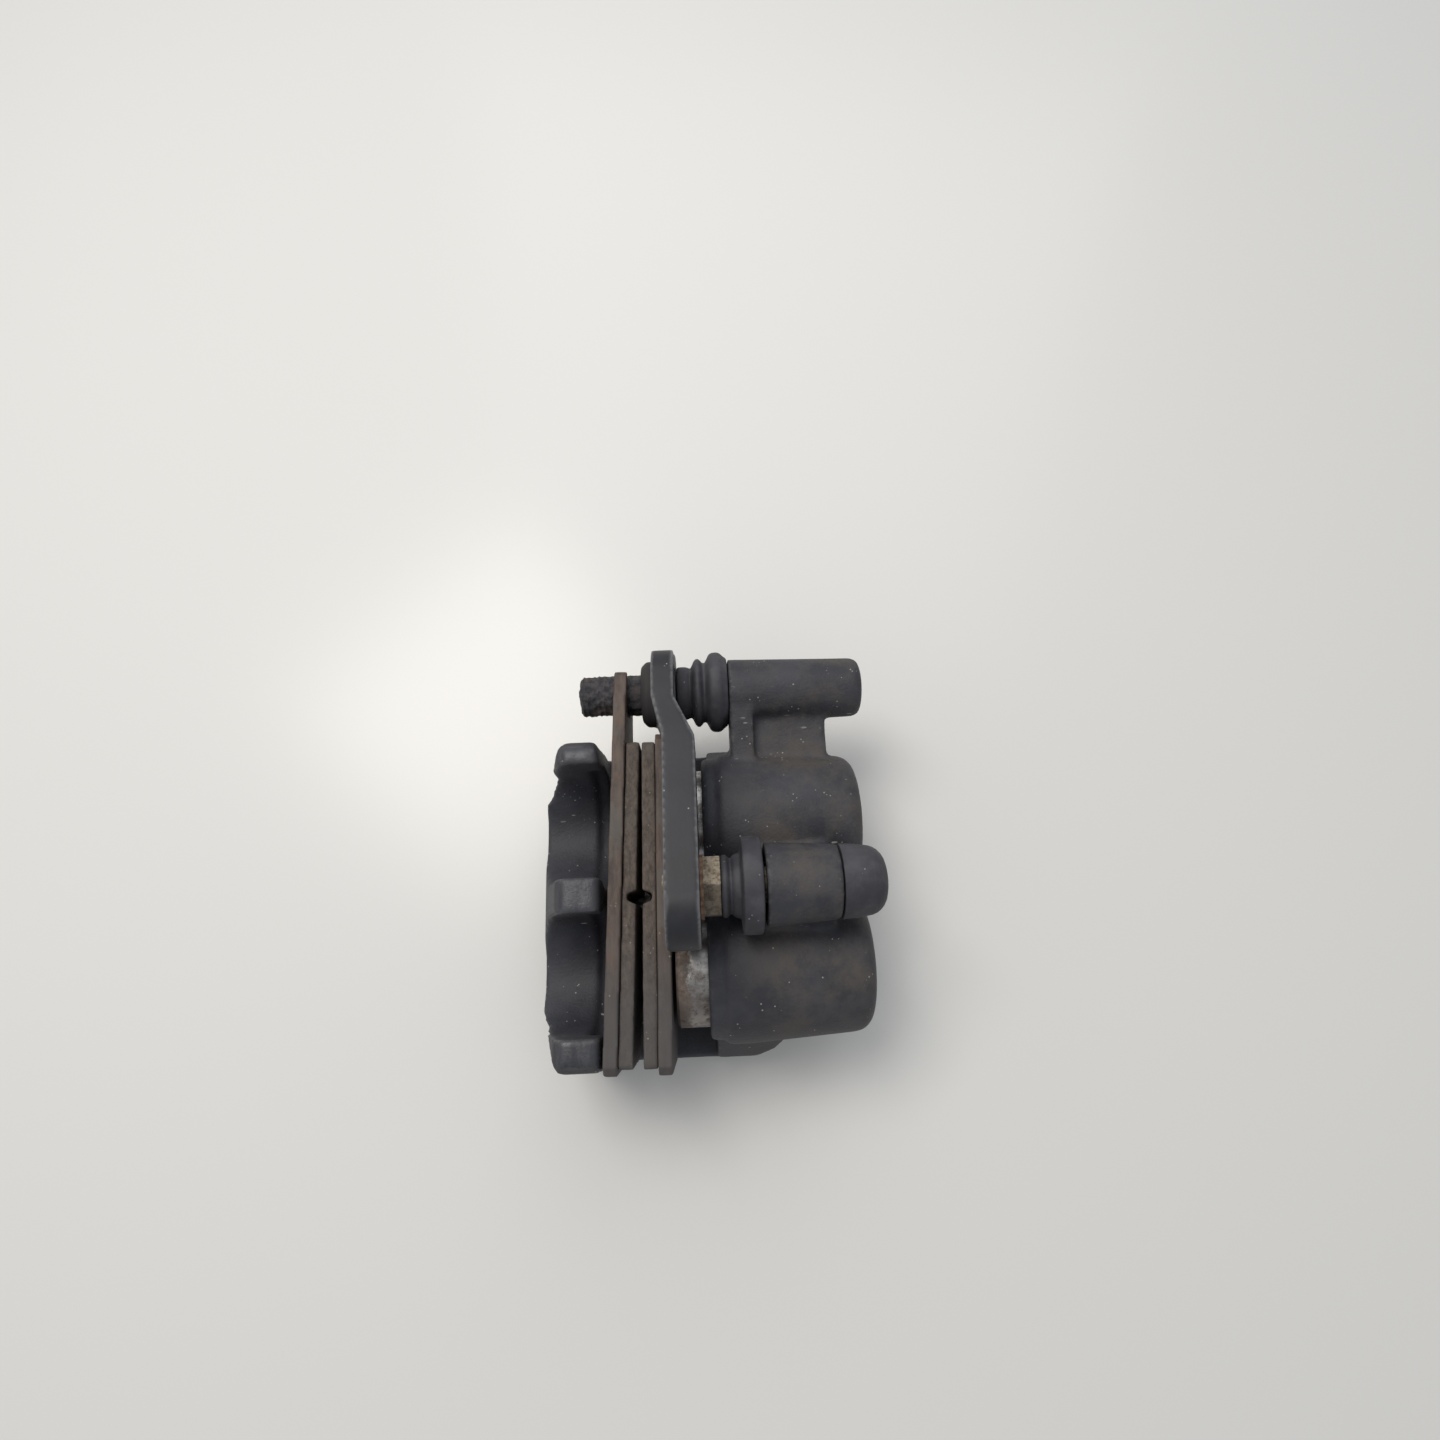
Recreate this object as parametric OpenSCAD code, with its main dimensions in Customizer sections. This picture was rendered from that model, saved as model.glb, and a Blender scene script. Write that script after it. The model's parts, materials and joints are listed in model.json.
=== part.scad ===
// Hydraulic floating disc brake caliper with two pistons in one side.
// X runs along the slide pins towards the closed cylinder ends, Y joins the two
// piston axes, and Z points to the wheel hub. The caliper rests on its bridge.

/* [Pistons and cylinders] */
// Diameter of both pistons
piston_d = 30; // [26:0.5:31]
// Distance between the two piston axes
piston_pitch = 39; // [38:0.5:41]
// Length of each piston cup
piston_len = 27; // [20:0.5:28]
// Wall of the piston cup
piston_wall = 3.5; // [2:0.25:5]
// How far both pistons stand out of the cylinder mouths
piston_out = 8.2; // [1:0.1:8.2]
// Radial running gap between a piston and its bore
piston_gap = 0.05; // [0.02:0.01:0.1]
// Wall around each cylinder bore at its mouth
cylinder_wall = 4.5; // [3.8:0.25:6]
// How much thinner that wall is at the closed end
cylinder_draft = 1.7; // [0:0.1:1.8]
// Thickness of the closed cylinder ends
cylinder_end = 8; // [5:0.5:10]
// Overall length of the cylinders
cylinder_len = 43; // [36:0.5:48]
// Height of the piston axes above the bridge's rest face
axis_z = 33; // [31:0.5:36]

/* [Bridge and claw] */
// Free width of the disc slot between claw and cylinder mouths
slot_w = 27.2; // [27.2:0.2:32]
// Thickness of the bridge
bridge_t = 8.5; // [7:0.5:8.5]
// Length of the bridge along Y on each side of the centre
bridge_half = 45; // [43:0.5:48]
// Thickness of the claw fingers at their tips
finger_tip = 12; // [9:0.5:14]
// Thickness of the claw at its root
claw_root = 19.5; // [16:0.5:20]
// Height of the finger tips above the piston axes
finger_h = 17; // [14:0.5:20]
// Window in the bridge along the slide direction
window_w = 18; // [12:0.5:20]
// Window in the bridge along Y
window_len = 28; // [20:0.5:34]

/* [Brake pads] */
// Thickness of each backing plate
plate_t = 3.6; // [3:0.1:4]
// Thickness of what is left of each lining
lining_t = 3.8; // [2:0.1:3.9]
// Thickness of lining left under its wear groove
groove_floor = 1.3; // [0.8:0.1:1.8]
// Width of the wear groove
groove_w = 2.6; // [1.6:0.1:4]
// Length of each lining
lining_len = 83; // [74:0.5:84]
// Width of the pads across the disc's friction track
pad_h = 34; // [32:0.5:34]
// Lean of the loose outer pad, in degrees
outer_lean = 2; // [0:0.1:2.2]
// Lean of the loose inner pad, in degrees
inner_lean = 0.6; // [0:0.1:1]
// Smallest gap left between the two linings
pad_gap = 0.37; // [0.3:0.01:1]
// Diameter of the pin that hangs the pads
pad_pin_d = 5; // [4:0.25:5.5]

/* [Bracket and slide pins] */
// Thickness of the bracket plate at its lower end
bracket_t = 8.1; // [6:0.1:9]
// Thickness of its upper end
bracket_upper_t = 5.8; // [4.6:0.1:8]
// Sideways step between the caliper-side faces of its two ends
bracket_step = 4.9; // [2:0.1:6]
// Diameter of the two mounting holes
mount_hole_d = 10.2; // [6.6:0.1:11]
// Outer radius of the mounting lugs
lug_r = 10; // [9:0.25:11]
// Upper slide pin axis above the piston axes
upper_pin_rise = 8; // [5:0.5:10]
// Upper slide pin axis along Y
upper_pin_y = 56; // [55.5:0.5:62]
// Diameter of the upper pin where it guides the pads
upper_pin_d = 12.6; // [10:0.1:13]
// Lower slide pin axis above the piston axes
lower_pin_rise = 26; // [26:0.5:30]
// Diameter of both pins where they slide in the caliper
slide_d = 9; // [8:0.25:9.5]
// Radial running gap of the slide pins
slide_gap = 0.06; // [0.02:0.01:0.1]

/* [Hidden] */
$fn = 64;
eps = 0.01;
seat_gap = 0.1;

// Cylinder block
mouth_x = -3.8;
half_pitch = piston_pitch / 2;
bore_r = piston_d / 2 + piston_gap;
cylinder_r = bore_r + cylinder_wall;
cylinder_x1 = mouth_x + cylinder_len;
bore_x1 = cylinder_x1 - cylinder_end;
nose_len = 4.8;
nose_r = cylinder_r - 1.2;
end_fillet = 5;
wall_x0 = mouth_x + 1.8;
wall_x1 = 6;
flange_len = 12;

// Claw
claw_x1 = mouth_x - slot_w;
claw_x0 = claw_x1 - claw_root;
tip_x0 = claw_x1 - finger_tip;
tip_z = axis_z + finger_h;
scallop_r = piston_d / 2;
relief_r = scallop_r + 1.8;
relief_depth = 4;
corner_cut = 9.5;
bridge_edge_z = 5.5;
bridge_flat = 30;

// Seals
seal_w = 3.2;
seal_t = 2.2;
seal_x = mouth_x + 8;
dust_w = 2.4;
dust_t = 2;
dust_x = mouth_x + 1.2;

// Pads, each with its lining face on the local plane x = 0
pad_z0 = axis_z - pad_h / 2;
pad_z1 = axis_z + pad_h / 2;
pad_top_y = 40.5;
pad_bottom_y = pad_top_y - lining_len;
plate_end = 1.4;
plate_bottom_y = pad_bottom_y - plate_end;
inner_top_y = pad_top_y + 2;
inner_face_x = mouth_x - piston_out - plate_t - lining_t - 0.7;
groove_depth = lining_t - groove_floor;
outer_face_x = inner_face_x - pad_gap
    - pad_top_y * (sin(outer_lean) - sin(inner_lean));
pad_pin_z = 14.5;
pad_pin_hole_d = pad_pin_d + 1.1;
pad_lobe_r = 5.2;
lining_edge = 1;
ear_tip_y = upper_pin_y + 4.5;
ear_z0 = axis_z - 3.5;

// Bracket
bracket_x1 = -4.9;
bracket_x0 = bracket_x1 - bracket_t;
lower_mount = [-5, axis_z + 36];
upper_mount = [52.6, axis_z + 24];
lower_pin = [0, axis_z + lower_pin_rise];
upper_pin = [upper_pin_y, axis_z + upper_pin_rise];
upper_lobe_r = 11.4;
// The step ends just short of the upper hole, which stays on the flat end
step_y1 = upper_mount[0] - mount_hole_d / 2 - 0.5;
step_y0 = step_y1 - 11;
strap_z0 = max(pad_z1, axis_z + nose_r) + 0.6;
collar_len = 4;
collar_r = 9.4;
upper_face_x = bracket_x1 - bracket_step;
upper_end_x0 = upper_face_x - bracket_upper_t;
collar_x0 = upper_end_x0 - collar_len;

// Slide pins
upper_pin_x0 = -37.3;
upper_boss_x0 = 4.8;
upper_boss_x1 = 42.4;
upper_boss_r = 9.2;
upper_boss_draft = 0.8;
upper_bore_x1 = upper_boss_x1 - 5;
upper_pin_x1 = 30;
lower_boss_x0 = 11;
lower_boss_x1 = 29.5;
lower_boss_r0 = 10.4;
lower_boss_r1 = 9.2;
bush_r = slide_d / 2 + 2.4;
lower_pin_x1 = 27;
thread_r = 4;
hex_flats = 14;
washer_t = 0.8;
hex_x0 = bracket_x1 + washer_t;
hex_x1 = 0;
bead_x0 = 5.6;
bead_r = 11.9;

// Fluid port and bleed screw
port_x = 22;
port_boss_r = 9.5;
port_r = 5;
port_depth = 11;
gallery_r = 2;
gallery_z = axis_z - 9;
bleed_x = 26;
bleed_boss_r = 5.5;
bleed_boss_z = 8;
bleed_thread_r = 3;

function arc(cx, cy, r, a0, a1, n) =
    [for (i = [0 : n]) [cx + r * cos(a0 + (a1 - a0) * i / n),
                        cy + r * sin(a0 + (a1 - a0) * i / n)]];

// A round bar along X between x0 and x1, at [y, z]
module bar_x(x0, x1, at, r) {
    translate([x0, at[0], at[1]]) rotate([0, 90, 0]) cylinder(h = x1 - x0, r = r);
}

// A profile of [x, radius] points turned about an X axis at [y, z]
module turned_x(at, profile) {
    translate([0, at[0], at[1]]) rotate([0, 90, 0]) rotate_extrude()
        polygon([for (p = profile) [p[1], p[0]]]);
}

// An outline of [y, z] points made x0 to x1 thick
module plate_x(x0, x1) {
    translate([x0, 0, 0]) rotate([90, 0, 90]) linear_extrude(height = x1 - x0)
        children();
}

module each_cylinder() {
    for (side = [-1, 1]) translate([0, side * half_pitch, axis_z]) children();
}

// ---- Caliper body ----

module bridge_outline() {
    polygon([[-bridge_half, bridge_edge_z], [-bridge_flat, 0], [bridge_flat, 0],
        [bridge_half, bridge_edge_z], [bridge_half, bridge_t], [-bridge_half, bridge_t]]);
}

module cylinder_outline() {
    turned_x([0, 0], concat(
        [[mouth_x, 0], [mouth_x, nose_r - 0.8], [mouth_x + 0.8, nose_r],
         [mouth_x + nose_len, nose_r], [mouth_x + nose_len, cylinder_r],
         [mouth_x + nose_len + 6, cylinder_r]],
        arc(cylinder_x1 - end_fillet, cylinder_r - cylinder_draft - end_fillet,
            end_fillet, 87, 0, 8),
        [[cylinder_x1, 0]]));
}

module end_wall_outline() {
    polygon([[-bridge_half, bridge_edge_z], [-bridge_flat, 0], [bridge_flat, 0],
        [bridge_half, bridge_edge_z], [bridge_half - 1, 18],
        [half_pitch + 19, axis_z - 4], [half_pitch, axis_z], [-half_pitch, axis_z],
        [-half_pitch - 19, axis_z - 4], [-bridge_half + 1, 18]]);
}

module end_wall() {
    plate_x(wall_x0, wall_x1) end_wall_outline();
    // Flanges that run out along the sides of the cylinders
    for (side = [-1, 1]) intersection() {
        plate_x(wall_x1 - 1, wall_x1 + flange_len) end_wall_outline();
        translate([0, 0, 10]) linear_extrude(height = axis_z)
            polygon([[wall_x1 - 1, side * half_pitch], [wall_x1 - 1, side * bridge_half],
                [wall_x1 + 3, side * (bridge_half - 0.8)],
                [wall_x1 + 8, side * (bridge_half - 3.2)],
                [wall_x1 + flange_len, side * (half_pitch + 17.5)],
                [wall_x1 + flange_len, side * half_pitch]]);
    }
}

module claw() {
    intersection() {
        plate_x(claw_x0, claw_x1) polygon([[-bridge_half, bridge_edge_z],
            [-bridge_flat, 0], [bridge_flat, 0], [bridge_half, bridge_edge_z],
            [bridge_half - 0.5, 18], [41.5, tip_z - 4], [38.5, tip_z],
            [-40.5, tip_z], [-43, tip_z - 4], [-bridge_half + 0.3, 18]]);
        translate([0, bridge_half + 1, 0]) rotate([90, 0, 0])
            linear_extrude(height = 2 * bridge_half + 2)
            polygon([[claw_x1, 0], [claw_x1, tip_z - 1.5], [claw_x1 - 1.5, tip_z],
                [tip_x0 + 2.5, tip_z], [tip_x0, tip_z - 3], [claw_x0, 20],
                [claw_x0, 7], [claw_x0 + 4, 0]]);
        linear_extrude(height = tip_z + 1) polygon([[claw_x1, -bridge_half],
            [claw_x1, bridge_half - 10], [claw_x1 - 2.2, bridge_half],
            [claw_x0 + corner_cut, bridge_half], [claw_x0 + corner_cut, 41.5],
            [claw_x0, 28.5], [claw_x0, -30], [claw_x0 + corner_cut, -43.5],
            [claw_x0 + corner_cut, -bridge_half]]);
    }
}

module scallops() {
    each_cylinder() {
        translate([claw_x0 - 1, 0, 0]) rotate([0, 90, 0])
            cylinder(h = claw_root + 2, r = scallop_r);
        translate([claw_x0 - 1, -scallop_r, 0])
            cube([claw_root + 2, 2 * scallop_r, finger_h + 1]);
        translate([claw_x1 - relief_depth, 0, 0]) rotate([0, 90, 0])
            cylinder(h = relief_depth + 1, r = relief_r);
    }
}

module upper_boss() {
    turned_x(upper_pin, concat(
        [[upper_boss_x0, 0], [upper_boss_x0, upper_boss_r]],
        [[upper_boss_x1 - 3, upper_boss_r - upper_boss_draft]],
        arc(upper_boss_x1 - 2.5, upper_boss_r - upper_boss_draft - 2.5, 2.5, 80, 0, 5),
        [[upper_boss_x1, 0]]));
    // Thick rib at the mouth and the thinner web behind it
    plate_x(upper_boss_x0, upper_boss_x0 + 6.5)
        polygon([[half_pitch, axis_z], [upper_pin[0], axis_z - 0.5],
            [upper_pin[0], upper_pin[1] + 8], [upper_pin[0] - 6, upper_pin[1] + 7],
            [half_pitch + 16, axis_z + 12], [half_pitch, axis_z + 14]]);
    plate_x(upper_boss_x0 + 6, upper_boss_x0 + 27)
        polygon([[half_pitch, axis_z - 3], [upper_pin[0], upper_pin[1] - 6],
            [upper_pin[0], upper_pin[1] + 3], [half_pitch + 10, axis_z + 8]]);
}

module lower_boss() {
    turned_x(lower_pin, [[lower_boss_x0, 0], [lower_boss_x0, lower_boss_r0],
        [lower_boss_x1 - 0.6, lower_boss_r1], [lower_boss_x1, lower_boss_r1 - 0.6],
        [lower_boss_x1, 0]]);
    plate_x(lower_boss_x0, lower_boss_x1 - 1)
        polygon([[-half_pitch + 6, axis_z], [half_pitch - 6, axis_z],
            [half_pitch - 7, axis_z + 14], [7.5, lower_pin[1] - 4],
            [-7.5, lower_pin[1] - 4], [-half_pitch + 7, axis_z + 14]]);
}

module body_bores() {
    each_cylinder() {
        translate([mouth_x - 1, 0, 0]) rotate([0, 90, 0])
            cylinder(h = bore_x1 - mouth_x + 1, r = bore_r);
        translate([seal_x, 0, 0]) rotate([0, 90, 0])
            cylinder(h = seal_w + 0.2, r = bore_r + seal_t);
        translate([dust_x, 0, 0]) rotate([0, 90, 0])
            cylinder(h = dust_w + 0.2, r = bore_r + dust_t);
    }
    bar_x(upper_boss_x0 - 1, upper_bore_x1, upper_pin, slide_d / 2 + slide_gap);
    bar_x(lower_boss_x0 - 1, lower_boss_x1 + 1, lower_pin, bush_r);
    // Pad pin, screwed in through the claw and ending in the cylinder wall
    bar_x(claw_x0 - 1, claw_x1 + 1, [0, pad_pin_z], pad_pin_d / 2 + 0.05);
    bar_x(claw_x0 - 1, claw_x0 + 7, [0, pad_pin_z], pad_pin_d / 2 + 1.8);
    bar_x(wall_x0 - 2, wall_x1 - 1, [0, pad_pin_z], pad_pin_d / 2 + 0.05);
    // Hose port, cross drilling to both bores, and the bleed drilling
    translate([port_x, 0, -1]) cylinder(h = port_depth + 1, r = port_r);
    translate([port_x, 0, port_depth - 1])
        cylinder(h = gallery_z - port_depth + 1, r = gallery_r);
    translate([port_x, -half_pitch / 2, gallery_z]) rotate([-90, 0, 0])
        cylinder(h = half_pitch, r = gallery_r);
    translate([bleed_x, half_pitch, bleed_boss_z - 1])
        cylinder(h = axis_z - bleed_boss_z, r = bleed_thread_r + 0.05);
}

module caliper_body() {
    color([0.17, 0.18, 0.2]) difference() {
        union() {
            each_cylinder() cylinder_outline();
            // Block that joins the two cylinders below the valley
            translate([mouth_x + nose_len, -half_pitch, axis_z - 15])
                cube([cylinder_len - nose_len - end_fillet, piston_pitch, 24]);
            plate_x(claw_x0 + corner_cut + 0.5, wall_x1) bridge_outline();
            end_wall();
            difference() {
                claw();
                scallops();
            }
            upper_boss();
            lower_boss();
            translate([port_x, 0, 0]) cylinder(h = axis_z - 10, r = port_boss_r);
            // Rib that ties the port boss to the end wall
            translate([wall_x1 - 1, -3, 3]) cube([port_x - wall_x1, 6, axis_z - 12]);
            translate([bleed_x, half_pitch, bleed_boss_z])
                cylinder(h = axis_z - cylinder_r - bleed_boss_z + 4, r = bleed_boss_r);
        }
        body_bores();
        translate([(claw_x1 + mouth_x) / 2 - window_w / 2, -window_len / 2, -1])
            cube([window_w, window_len, bridge_t + 2]);
    }
}

// ---- Bracket ----

module bracket_outline() {
    translate(lower_mount) circle(r = lug_r);
    translate(upper_mount) circle(r = lug_r);
    translate(upper_pin) circle(r = upper_lobe_r);
    polygon([[lower_mount[0] - lug_r + 1, strap_z0 + 6], [lower_mount[0] - 4, strap_z0],
        [upper_mount[0] - 8, strap_z0], [upper_mount[0] + 2, upper_mount[1] + lug_r - 0.2],
        [lower_mount[0] + 3, lower_mount[1] + lug_r - 0.5],
        [lower_mount[0] - lug_r, lower_mount[1]]]);
    polygon([[upper_mount[0] - 8, strap_z0], [upper_pin[0] - upper_lobe_r + 1, strap_z0],
        [upper_pin[0] - upper_lobe_r, upper_pin[1]], [upper_pin[0] + upper_lobe_r, upper_pin[1]],
        [upper_mount[0] + lug_r, upper_mount[1]], upper_mount]);
}

module mounting_bracket() {
    color([0.2, 0.21, 0.23]) difference() {
        union() {
            intersection() {
                plate_x(upper_end_x0, bracket_x1) bracket_outline();
                linear_extrude(height = 200) polygon([
                    [bracket_x0, -40], [bracket_x1, -40], [bracket_x1, step_y0],
                    [upper_face_x, step_y1], [upper_face_x, 90],
                    [upper_end_x0, 90], [upper_end_x0, step_y1],
                    [bracket_x0, step_y0]]);
            }
            turned_x(upper_pin, [[collar_x0, 0], [collar_x0, collar_r - 1.5],
                [collar_x0 + 1.5, collar_r], [collar_x0 + collar_len + 1, collar_r],
                [collar_x0 + collar_len + 1, 0]]);
        }
        bar_x(bracket_x0 - 1, bracket_x1 + 1, lower_mount, mount_hole_d / 2);
        bar_x(upper_end_x0 - 1, bracket_x1 + 1, upper_mount, mount_hole_d / 2);
        bar_x(bracket_x0 - 1, bracket_x1 + 1, lower_pin, thread_r + 0.03);
        bar_x(collar_x0 - 1, upper_face_x + 1, upper_pin, upper_pin_d / 2 + 0.03);
    }
}

// ---- Slide pins and their rubbers ----

module upper_slide_pin() {
    thread_x0 = upper_pin_x0 + 1.2;
    pitch = 1.5;
    r = upper_pin_d / 2;
    color([0.2, 0.2, 0.21]) turned_x(upper_pin, concat(
        [[upper_pin_x0, 0], [upper_pin_x0, r - 1], [thread_x0, r]],
        [for (i = [0 : 4]) each [[thread_x0 + (i + 0.2) * pitch, r],
            [thread_x0 + (i + 0.6) * pitch, r - 0.5], [thread_x0 + (i + 1) * pitch, r]]],
        [[upper_face_x - 0.4, r], [upper_face_x, r - 0.4],
         [upper_face_x, slide_d / 2], [upper_pin_x1 - 1, slide_d / 2],
         [upper_pin_x1, slide_d / 2 - 1], [upper_pin_x1, 0]]));
}

module lower_slide_pin() {
    color([0.62, 0.56, 0.42]) {
        turned_x(lower_pin, [[bracket_x0 - 1.2, 0], [bracket_x0 - 1.2, thread_r - 0.8],
            [bracket_x0 - 0.4, thread_r], [hex_x0 + 1, thread_r],
            [hex_x0 + 1, slide_d / 2], [lower_pin_x1 - 1, slide_d / 2],
            [lower_pin_x1, slide_d / 2 - 1], [lower_pin_x1, 0]]);
        translate([hex_x0, lower_pin[0], lower_pin[1]]) rotate([0, 90, 0])
            cylinder(h = hex_x1 - hex_x0, r = hex_flats / 2 / cos(30), $fn = 6);
    }
}

module lower_pin_washer() {
    color([0.55, 0.35, 0.25]) difference() {
        bar_x(bracket_x1, bracket_x1 + washer_t, lower_pin, hex_flats / 2 + 0.9);
        bar_x(bracket_x1 - 1, bracket_x1 + washer_t + 1, lower_pin, thread_r + 0.05);
    }
}

module upper_pin_boot() {
    inner = slide_d / 2 + slide_gap;
    x0 = upper_face_x;
    x1 = upper_boss_x0;
    color([0.1, 0.1, 0.11]) turned_x(upper_pin, [[x0, inner], [x0, 7.2], [x0 + 3, 7.2],
        [x0 + 3.6, 6.6], [x0 + 4.4, 7.4], [x0 + 5.4, 9.6], [x0 + 7, 9.8], [x0 + 8, 8.2],
        [x0 + 8.6, 8.4], [x0 + 9.4, 11], [x0 + 11, 11.3], [x1 - 2.2, 10.6],
        [x1 - 1.4, 9.6], [x1, 9.4], [x1, inner]]);
}

module lower_pin_boot() {
    inner = slide_d / 2 + slide_gap;
    color([0.1, 0.1, 0.11]) turned_x(lower_pin, [[hex_x1, inner], [hex_x1, 7.4],
        [hex_x1 + 1.6, 7.8], [hex_x1 + 2.4, 6.6], [hex_x1 + 3.4, 7.8],
        [bead_x0 - 0.4, 8], [bead_x0, bead_r - 1], [bead_x0 + 1, bead_r],
        [lower_boss_x0 - 1.2, bead_r - 0.2], [lower_boss_x0 - 0.6, bead_r - 1.4],
        [lower_boss_x0 - 0.6, bush_r + 1], [lower_boss_x0, bush_r + 1],
        [lower_boss_x0, bush_r - 0.03], [lower_boss_x0 + 8, bush_r - 0.03],
        [lower_boss_x0 + 8, inner]]);
}

module lower_pin_cap() {
    x0 = lower_boss_x1;
    x1 = 40.7;
    color([0.1, 0.1, 0.11]) difference() {
        turned_x(lower_pin, concat([[x0 - 6, 0], [x0 - 6, bush_r - 0.03],
            [x0, bush_r - 0.03], [x0, lower_boss_r1], [x0 + 4, lower_boss_r1 - 0.2]],
            arc(x1 - 5, lower_boss_r1 - 5.6, 5, 75, 0, 6), [[x1, 0]]));
        bar_x(x0 - 7, lower_pin_x1 + 6, lower_pin, slide_d / 2 + slide_gap);
    }
}

// ---- Pistons and seals ----

module piston(side) {
    x0 = mouth_x - piston_out;
    r = piston_d / 2;
    color([0.72, 0.7, 0.66]) turned_x([side * half_pitch, axis_z], [
        [x0, r - piston_wall], [x0, r - 0.6], [x0 + 0.6, r],
        [x0 + piston_len - 1, r], [x0 + piston_len, r - 1], [x0 + piston_len, 0],
        [x0 + piston_len - 4, 0], [x0 + piston_len - 4, r - piston_wall - 2],
        [x0 + piston_len - 6, r - piston_wall]]);
}

module upper_piston() { piston(1); }

module lower_piston() { piston(-1); }

module piston_seal(side) {
    color([0.12, 0.1, 0.1]) turned_x([side * half_pitch, axis_z], [
        [seal_x + 0.1, bore_r], [seal_x + 0.1, bore_r + seal_t - 0.05],
        [seal_x + seal_w + 0.1, bore_r + seal_t - 0.05], [seal_x + seal_w + 0.1, bore_r]]);
}

module upper_piston_seal() { piston_seal(1); }

module lower_piston_seal() { piston_seal(-1); }

module dust_seal(side) {
    color([0.12, 0.12, 0.13]) turned_x([side * half_pitch, axis_z], [
        [dust_x + 0.1, bore_r], [dust_x + 0.1, bore_r + dust_t - 0.05],
        [dust_x + dust_w + 0.1, bore_r + dust_t - 0.05], [dust_x + dust_w + 0.1, bore_r]]);
}

module upper_dust_seal() { dust_seal(1); }

module lower_dust_seal() { dust_seal(-1); }

// ---- Pads ----

module pad_place(face_x, lean) {
    translate([face_x, 0, 0]) rotate([0, 0, -lean]) children();
}

// Outline shared by both backing plates, up to y = top
module plate_outline(top) {
    polygon([[plate_bottom_y, pad_z0 + 5], [plate_bottom_y + 5, pad_z0],
        [top - 5, pad_z0], [top, pad_z0 + 5], [top, pad_z1 - 2], [top - 2, pad_z1],
        [plate_bottom_y + 2, pad_z1], [plate_bottom_y, pad_z1 - 2]]);
    translate([0, pad_pin_z]) circle(r = pad_lobe_r);
}

module lining_outline() {
    polygon([[pad_bottom_y, pad_z0 + 9], [pad_bottom_y + 5, pad_z0 + 4],
        [pad_top_y - 5, pad_z0 + 4], [pad_top_y, pad_z0 + 9],
        [pad_top_y, pad_z1 - lining_edge - 1], [pad_top_y - 1, pad_z1 - lining_edge],
        [pad_bottom_y + 1, pad_z1 - lining_edge],
        [pad_bottom_y, pad_z1 - lining_edge - 1]]);
}

// Wear groove across the middle of a lining, sunk in its friction face at X 0
module wear_groove(side) {
    translate([0, (pad_top_y + pad_bottom_y) / 2, pad_z0]) linear_extrude(height = pad_h + 1)
        polygon([[side * groove_depth, -groove_w / 2 + 0.5], [side * groove_depth, groove_w / 2 - 0.5],
            [-side * 0.5, groove_w / 2 + 0.6], [-side * 0.5, -groove_w / 2 - 0.6]]);
}

module outer_pad_plate() {
    color([0.3, 0.22, 0.18]) pad_place(outer_face_x, outer_lean)
        plate_x(-lining_t - plate_t, -lining_t) difference() {
            union() {
                plate_outline(pad_top_y + 1);
                polygon([[pad_top_y - 4, pad_z0 + 8], [ear_tip_y - 6, ear_z0],
                    [ear_tip_y - 1, ear_z0], [ear_tip_y, ear_z0 + 1],
                    [ear_tip_y, pad_z1 - 1.4], [ear_tip_y - 1.4, pad_z1],
                    [pad_top_y - 4, pad_z1]]);
            }
            translate([0, pad_pin_z]) circle(r = pad_pin_hole_d / 2);
            // Open slot that rides on the upper slide pin
            translate([upper_pin[0], upper_pin[1]]) circle(r = upper_pin_d / 2 + 0.3);
            translate([upper_pin[0], upper_pin[1] - upper_pin_d / 2 - 0.3])
                square([12, upper_pin_d + 0.6]);
        }
}

module outer_pad_lining() {
    color([0.27, 0.22, 0.19]) pad_place(outer_face_x, outer_lean)
        difference() {
            plate_x(-lining_t, 0) lining_outline();
            wear_groove(-1);
        }
}

module inner_pad_plate() {
    color([0.3, 0.22, 0.18]) pad_place(inner_face_x, inner_lean)
        plate_x(lining_t, lining_t + plate_t) difference() {
            plate_outline(inner_top_y);
            translate([0, pad_pin_z]) circle(r = pad_pin_hole_d / 2);
        }
}

module inner_pad_lining() {
    color([0.27, 0.22, 0.19]) pad_place(inner_face_x, inner_lean)
        difference() {
            plate_x(0, lining_t) lining_outline();
            wear_groove(1);
        }
}

module pad_pin() {
    color([0.6, 0.6, 0.6]) difference() {
        turned_x([0, pad_pin_z], [[claw_x0 + 3.4, 0], [claw_x0 + 3.4, pad_pin_d / 2 + 1.5],
            [claw_x0 + 7, pad_pin_d / 2 + 1.5], [claw_x0 + 7, pad_pin_d / 2],
            [wall_x1 - 2, pad_pin_d / 2], [wall_x1 - 1.2, pad_pin_d / 2 - 0.8],
            [wall_x1 - 1.2, 0]]);
        translate([claw_x0 + 3, 0, pad_pin_z]) rotate([0, 90, 0])
            cylinder(h = 3, r = 2.5, $fn = 6);
    }
}

module pad_pin_plug() {
    color([0.5, 0.5, 0.52]) difference() {
        bar_x(claw_x0 + 0.6, claw_x0 + 3.3, [0, pad_pin_z], pad_pin_d / 2 + 1.77);
        translate([claw_x0, -5, pad_pin_z - 0.6]) cube([1.6, 10, 1.2]);
    }
}

module pad_spring() {
    t = 0.5;
    z0 = bridge_t + 0.1;
    cx = (claw_x1 + mouth_x) / 2;
    half = window_len / 2;
    color([0.55, 0.55, 0.52]) {
        translate([cx - 12, -half - 8, z0]) cube([24, 2 * half + 16, t]);
        for (side = [-1, 1])
            translate([cx - 5, side * (half - 0.5) - 0.25, 3]) cube([10, t, z0 - 3 + eps]);
    }
}

// ---- Bleed screw ----

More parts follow.
